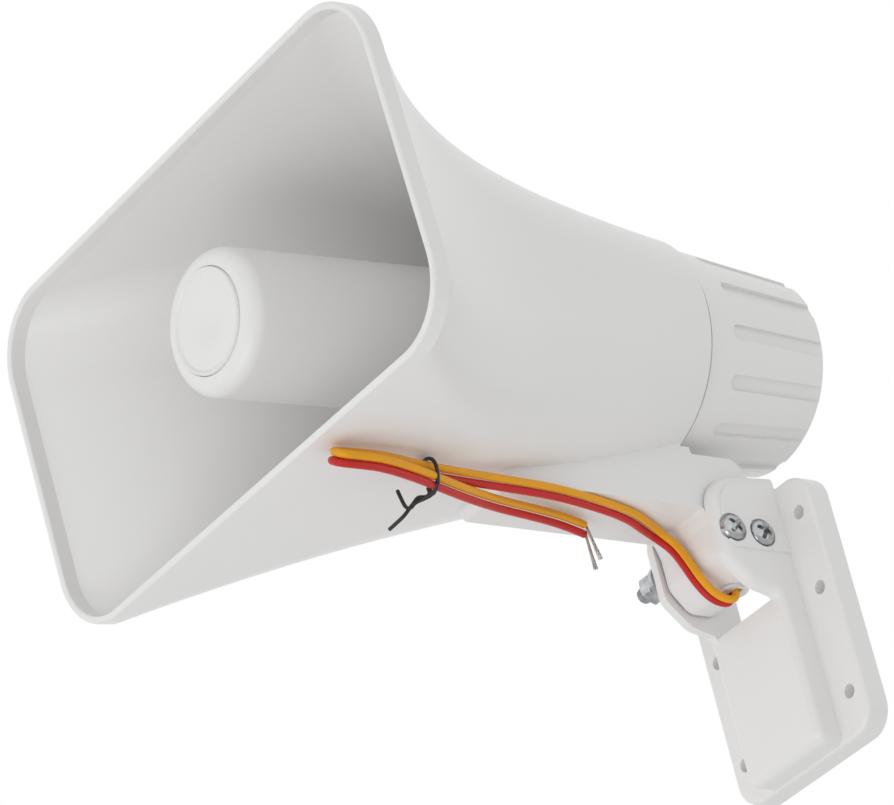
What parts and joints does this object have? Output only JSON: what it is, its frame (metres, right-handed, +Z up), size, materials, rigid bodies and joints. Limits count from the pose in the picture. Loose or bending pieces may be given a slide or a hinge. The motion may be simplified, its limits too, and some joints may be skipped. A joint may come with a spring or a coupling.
{
  "type": "alarm horn speaker",
  "caption": "White re-entrant alarm horn with a flared oblong mouth, screw-on rear cap, inner driver, tilting wall bracket and a folded twin lead",
  "frame": {"origin": "centre of the bracket's wall face", "axes": "+Z up, +Y into the wall, the mouth faces -Y at zero tilt"},
  "size_m": [0.22, 0.2432, 0.2078],
  "materials": {
    "white_abs": "gloss white ABS moulding",
    "black_plastic": "moulded black plastic",
    "white_plastic": "plain white moulding",
    "black_rubber": "matt rubber",
    "zinc_steel": "zinc plated steel",
    "plate_steel": "plated soft steel",
    "ferrite": "sintered ferrite, dark grey",
    "amber_film": "amber phenolic film",
    "copper_wire": "enamelled copper winding",
    "board_green": "green solder mask on glass-epoxy board",
    "yellow_pvc": "orange-yellow PVC insulation",
    "red_pvc": "red PVC insulation",
    "tinned_copper": "tinned copper strands"
  },
  "bodies": {
    "bracket": {"bracket_base": "white_abs", "pivot_bolt": "zinc_steel", "pivot_washer": "zinc_steel", "pivot_spring_washer": "zinc_steel", "pivot_nut": "zinc_steel", "clamp_bolt": "zinc_steel", "clamp_washer": "zinc_steel", "clamp_spring_washer": "zinc_steel", "clamp_nut": "zinc_steel"},
    "horn": {"horn_bell": "white_abs", "rear_cap": "white_abs", "cap_seal": "black_rubber", "reflector_cup": "white_abs", "cup_insert": "white_abs", "throat_horn": "white_plastic", "driver_gasket": "black_rubber", "diaphragm_ring": "black_plastic", "surround": "amber_film", "top_plate": "plate_steel", "magnet": "ferrite", "back_plate": "plate_steel", "driver_screws": "zinc_steel", "drive_wires": "black_plastic", "inner_lead_yellow": "yellow_pvc", "inner_lead_red": "red_pvc", "circuit_board": "board_green", "board_screws": "zinc_steel", "sound_chip": "black_plastic", "capacitor": "black_plastic", "power_transistor": "black_plastic", "resistors": "amber_film", "exit_grommet": "white_plastic", "lead_yellow": "yellow_pvc", "lead_red": "red_pvc", "bare_end_yellow": "tinned_copper", "bare_end_red": "tinned_copper", "lead_tie": "black_plastic"},
    "cone": {"diaphragm": "amber_film", "voice_coil": "copper_wire"}
  },
  "joints": [
    {"name": "horn_tilt", "type": "hinge", "parent": "bracket", "child": "horn", "pos_m": [0, -0.0328, 0.03065], "axis": [1, 0, 0], "range_deg": [-10, 35]},
    {"name": "diaphragm_travel", "type": "slide", "parent": "horn", "child": "cone", "axis": [0, 1, 0], "range_m": [-0.0003, 0.0003], "stiffness_N_per_m": 500}
  ]
}
